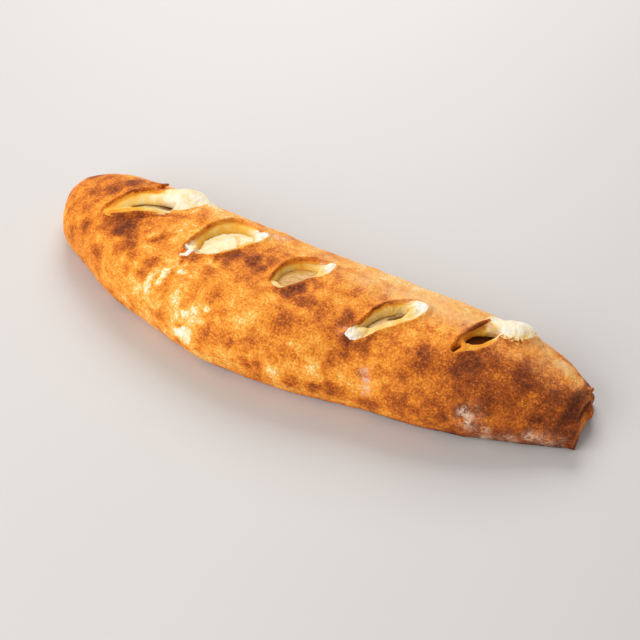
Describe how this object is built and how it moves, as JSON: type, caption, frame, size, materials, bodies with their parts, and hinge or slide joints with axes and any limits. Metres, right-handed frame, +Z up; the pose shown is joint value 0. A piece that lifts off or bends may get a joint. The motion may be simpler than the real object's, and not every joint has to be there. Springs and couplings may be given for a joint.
{
  "type": "stromboli",
  "caption": "Whole baked roll of pizza dough, slit across its top so that melted white cheese shows inside, with one rounded end and one folded end.",
  "frame": {"origin": "middle of the footprint, on the surface that the roll lies on", "axes": "+X along the roll to its folded end, +Y across it to its straighter side, +Z up"},
  "size_m": [0.3774, 0.1114, 0.0495],
  "materials": {
    "crust_dough": "dry baked dough, golden to dark brown, with pale soft dough where it split",
    "melted_cheese": "soft melted cheese with a moist sheen"
  },
  "bodies": {
    "root": {"crust": "crust_dough", "filling": "melted_cheese"}
  },
  "joints": []
}
